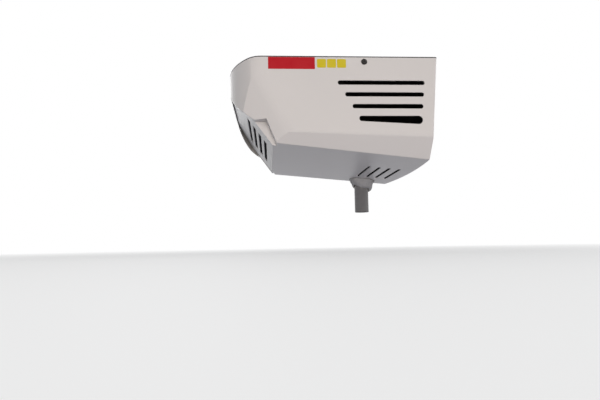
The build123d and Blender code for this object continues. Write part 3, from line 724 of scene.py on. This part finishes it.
def pressed_sealant():
    """Lumpy ring of sealant from the base to the sleeve, with a plain bore round the sleeve."""
    low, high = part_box("conduit_collar")
    centre = (low + high) / 2
    build = bmesh.new()
    rings = []
    for number in range(sealant_angles):
        angle = 2 * pi * number / sealant_angles
        shares = [step / sealant_steps for step in range(sealant_steps + 1)]
        ring = [build.verts.new(sealant_point(centre, angle, share)) for share in shares]
        bore_x = centre.x + sealant_hole * cos(angle)
        bore_y = centre.y + sealant_hole * sin(angle)
        ring.append(build.verts.new((bore_x, bore_y, base_height(bore_x) - sealant_gap)))
        rings.append(ring)
    for number, ring in enumerate(rings):
        following = rings[(number + 1) % sealant_angles]
        for step in range(len(ring)):
            after = (step + 1) % len(ring)
            face = build.faces.new((ring[step], ring[after], following[after], following[step]))
            face.smooth = True
    sealant = add_piece(build, "pressed_sealant", sealant_finish)
    rounding = sealant.modifiers.new("rounding", "SUBSURF")
    rounding.levels = 1
    rounding.render_levels = 1
    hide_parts("conduit_collar")


pressed_sealant()
flank_sticker(
    "red_sticker",
    (red_sticker["left"] + red_sticker["right"]) / 2,
    (red_sticker["top"] + red_sticker["bottom"]) / 2,
    red_sticker["right"] - red_sticker["left"],
    red_sticker["top"] - red_sticker["bottom"],
    red_sticker["corner"],
    red_vinyl,
)
for number in range(small_sticker_count):
    flank_sticker(
        "small_sticker_" + str(number + 1),
        small_sticker_first_x + number * small_sticker_pitch,
        small_sticker_z,
        small_sticker_side,
        small_sticker_side,
        small_sticker_corner,
        yellow_vinyl,
    )
for node_name, width, joined in soft_edges:
    soften(node_name, width, joined)


# Stage

def make_floor():
    """Plain pale floor, which a camera and a lamp below it look through."""
    material, tree, shader, place = start_material("pale_floor")
    shader.inputs["Roughness"].default_value = floor_roughness
    tint = mix_colour(tree, clouds(tree, place, scale=3.0, detail=3.0), *floor_tints)
    seen = tree.nodes.new("ShaderNodeLightPath").outputs
    direct = maths(tree, "MAXIMUM", seen["Is Camera Ray"], seen["Is Glossy Ray"])
    tree.links.new(mix_colour(tree, direct, floor_bounce, tint), shader.inputs["Base Color"])
    length = put(tree, "ShaderNodeVectorMath", {"operation": "LENGTH"})
    tree.links.new(place, length.inputs[0])
    far = spread(tree, length.outputs["Value"], *floor_fade, floor_white, 1.0)
    glow = put(tree, "ShaderNodeEmission", Color=colour(pure_white), Strength=1.0)
    fade = put(tree, "ShaderNodeMixShader", Fac=maths(tree, "MULTIPLY", far, direct))
    tree.links.new(shader.outputs[0], fade.inputs[1])
    tree.links.new(glow.outputs[0], fade.inputs[2])
    below = tree.nodes.new("ShaderNodeNewGeometry").outputs["Backfacing"]
    clear = tree.nodes.new("ShaderNodeBsdfTransparent")
    sides = put(tree, "ShaderNodeMixShader", Fac=below)
    tree.links.new(fade.outputs[0], sides.inputs[1])
    tree.links.new(clear.outputs[0], sides.inputs[2])
    tree.links.new(sides.outputs[0], tree.nodes["Material Output"].inputs["Surface"])
    build = bmesh.new()
    corners = ((-1, -1), (1, -1), (1, 1), (-1, 1))
    build.faces.new([build.verts.new((x * floor_reach, y * floor_reach, floor_z)) for x, y in corners])
    mesh = bpy.data.meshes.new("floor")
    build.to_mesh(mesh)
    build.free()
    mesh.materials.append(material)
    floor = bpy.data.objects.new("floor", mesh)
    floor.visible_shadow = False
    bpy.context.scene.collection.objects.link(floor)


def make_world():
    """White surroundings: full strength where they are seen or mirrored, softer as light."""
    world = bpy.data.worlds.new("studio")
    bpy.context.scene.world = world
    world.use_nodes = True
    tree = world.node_tree
    seen = tree.nodes.new("ShaderNodeLightPath").outputs
    direct = maths(tree, "MAXIMUM", seen["Is Camera Ray"], seen["Is Transmission Ray"])
    shown = maths(tree, "MAXIMUM", direct, seen["Is Glossy Ray"])
    strength = maths(tree, "ADD", maths(tree, "MULTIPLY", shown, 1.0 - ambient_strength), ambient_strength)
    surroundings = tree.nodes["Background"]
    tree.links.new(mix_colour(tree, shown, ambient_tint, pure_white), surroundings.inputs["Color"])
    tree.links.new(strength, surroundings.inputs["Strength"])


def soft_lamp(name, place, width, height, power, tint, mirrored):
    """Oblong area lamp aimed at the unit, mirrored in glossy surfaces or not."""
    data = bpy.data.lights.new(name, "AREA")
    data.shape = "RECTANGLE"
    data.size = width
    data.size_y = height
    data.energy = power
    data.color = tint
    lamp = bpy.data.objects.new(name, data)
    lamp.visible_camera = False
    lamp.visible_glossy = mirrored
    bpy.context.scene.collection.objects.link(lamp)
    lamp.location = place
    lamp.rotation_mode = "QUATERNION"
    lamp.rotation_quaternion = (lamp_aim - Vector(place)).to_track_quat("-Z", "Y")


make_floor()
make_world()
for lamp_row in lamps:
    soft_lamp(*lamp_row)

bpy.context.scene.view_settings.view_transform = "Standard"
